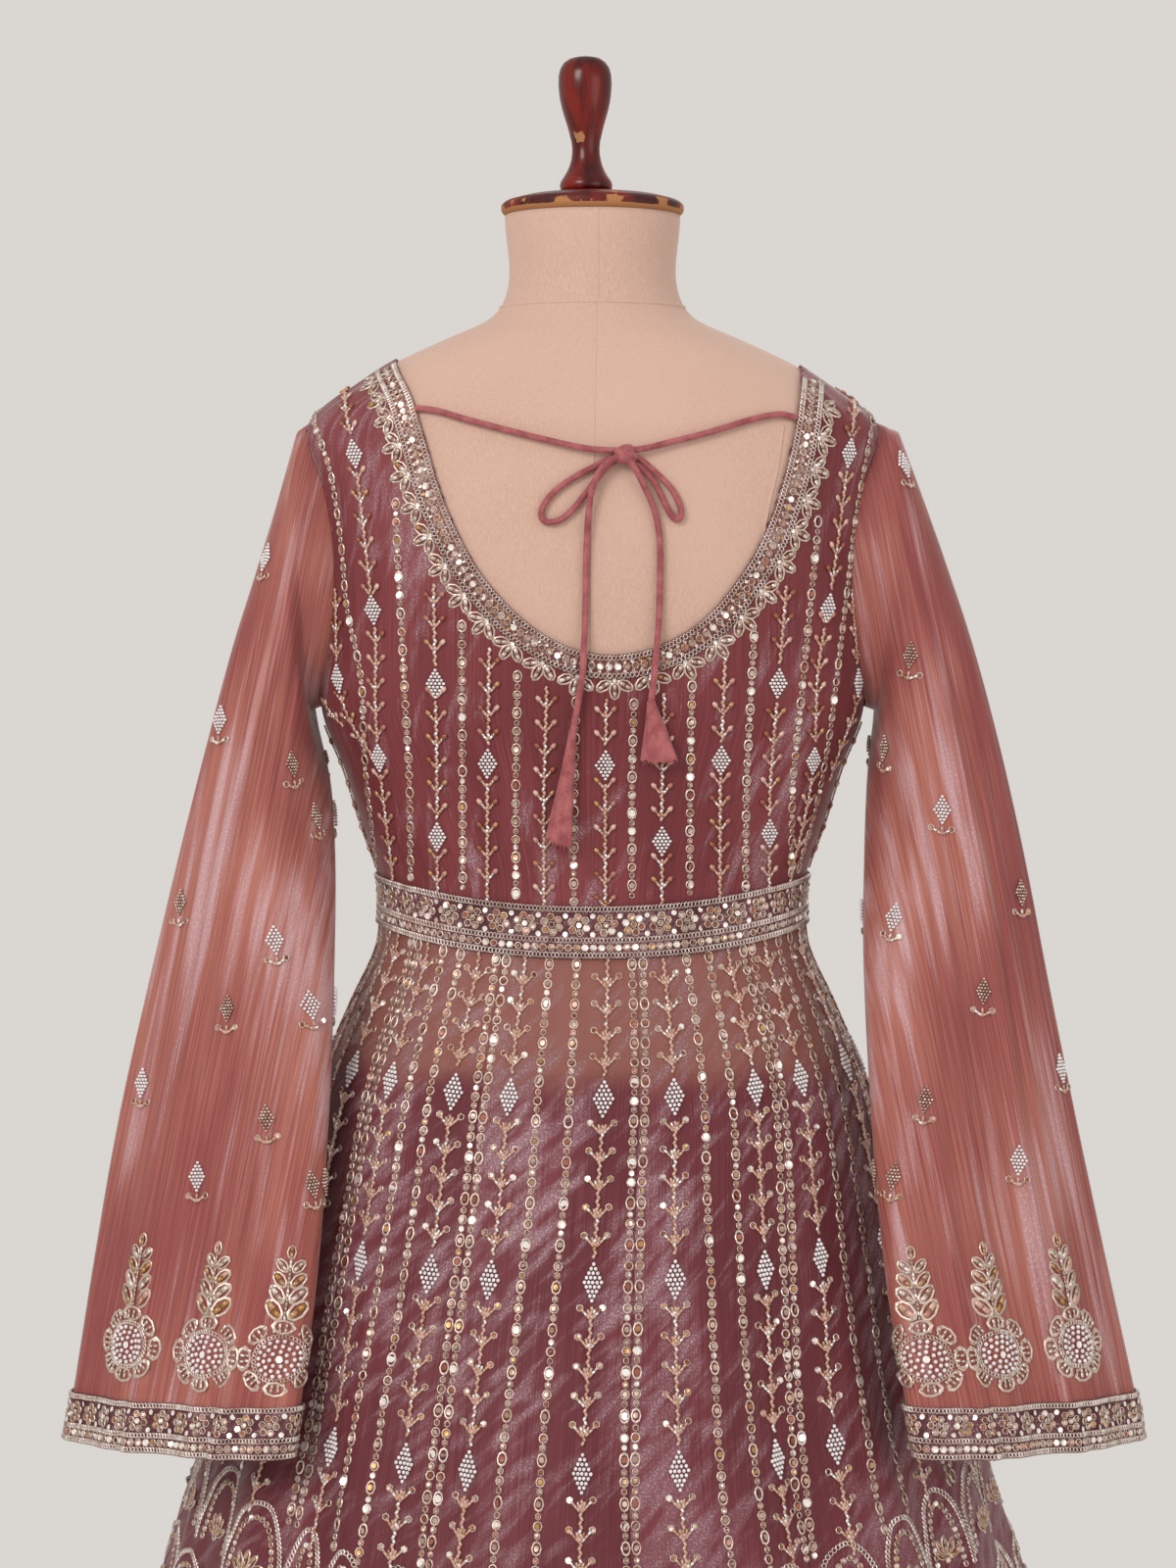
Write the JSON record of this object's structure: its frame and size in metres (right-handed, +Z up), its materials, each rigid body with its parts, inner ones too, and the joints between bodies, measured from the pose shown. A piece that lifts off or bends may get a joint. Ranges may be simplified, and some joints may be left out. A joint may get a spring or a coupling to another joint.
{
  "type": "anarkali lehenga dress on a limbless dress form",
  "caption": "Floor-length flared anarkali dress with fitted embroidered bodice, deep back neck with tied cords, waist belt and long bell sleeves, standing on a limbless dress form.",
  "frame": {"origin": "the floor under the dress form's axis, at the middle of the part's footprint", "axes": "+Z up; the back of the dress faces -Y; the dress's right sleeve is on +X"},
  "size_m": [0.9599, 0.9376, 1.6231],
  "materials": {
    "body_cloth": "wine-mauve crushed organza with a soft sheen, beaded all over",
    "sleeve_cloth": "sheer salmon-rose tissue organza",
    "lining_cloth": "matt wine lining",
    "zari_trim": "champagne gold thread, chain-stitched and sequined",
    "dori_cord": "dusty rose cloth",
    "form_cloth": "plain weave, peach beige",
    "lacquered_wood": "dark red-brown lacquer",
    "stand_metal": "satin dark paint"
  },
  "bodies": {
    "root": {"bodice_back": "body_cloth", "bodice_front": "body_cloth", "kali_01": "body_cloth", "kali_02": "body_cloth", "kali_03": "body_cloth", "kali_04": "body_cloth", "kali_05": "body_cloth", "kali_06": "body_cloth", "kali_07": "body_cloth", "kali_08": "body_cloth", "kali_09": "body_cloth", "kali_10": "body_cloth", "sleeve_left": "sleeve_cloth", "sleeve_right": "sleeve_cloth", "lining_01": "lining_cloth", "lining_02": "lining_cloth", "lining_03": "lining_cloth", "lining_04": "lining_cloth", "lining_05": "lining_cloth", "lining_06": "lining_cloth", "lining_07": "lining_cloth", "lining_08": "lining_cloth", "lining_09": "lining_cloth", "lining_10": "lining_cloth", "neck_border_back": "zari_trim", "neck_border_front": "zari_trim", "cuff_border_left": "zari_trim", "cuff_border_right": "zari_trim", "belt": "zari_trim", "dori_run_left": "dori_cord", "dori_run_right": "dori_cord", "dori_loop_left": "dori_cord", "dori_loop_right": "dori_cord", "dori_tail_left": "dori_cord", "dori_tail_right": "dori_cord", "dori_knot": "dori_cord", "tassel_left": "dori_cord", "tassel_right": "dori_cord", "form_torso": "form_cloth", "neck_cap": "lacquered_wood", "neck_finial": "lacquered_wood", "stand_base": "lacquered_wood", "stand_pole": "stand_metal"}
  },
  "joints": []
}
